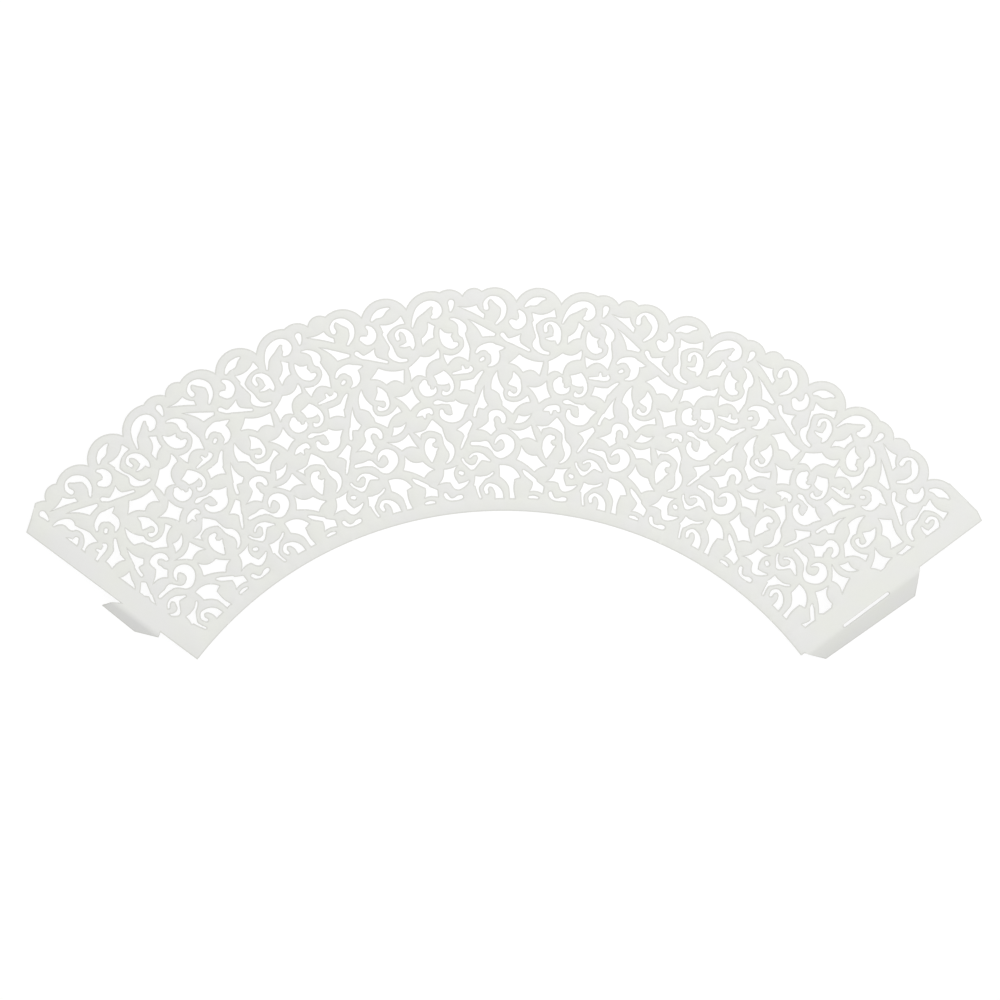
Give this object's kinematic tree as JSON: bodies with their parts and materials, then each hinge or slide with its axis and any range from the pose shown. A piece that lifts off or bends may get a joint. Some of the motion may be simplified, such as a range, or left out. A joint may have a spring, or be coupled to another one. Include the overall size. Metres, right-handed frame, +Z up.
{
  "type": "cupcake wrapper blank",
  "caption": "Fan-shaped paper wrapper blank for a cupcake, with a cut-out scroll lattice, a scalloped top edge, and a tab and slot that close it into a cone.",
  "frame": {"origin": "on the table, under the middle of the part's bounding box", "axes": "+X along the width towards the slotted flap, +Y from the inner arc to the scalloped edge, +Z up off the table"},
  "size_m": [0.216, 0.086, 0.0052],
  "materials": {
    "card": "matt pearl white"
  },
  "bodies": {
    "root": {"wrapper": "card"}
  },
  "joints": []
}
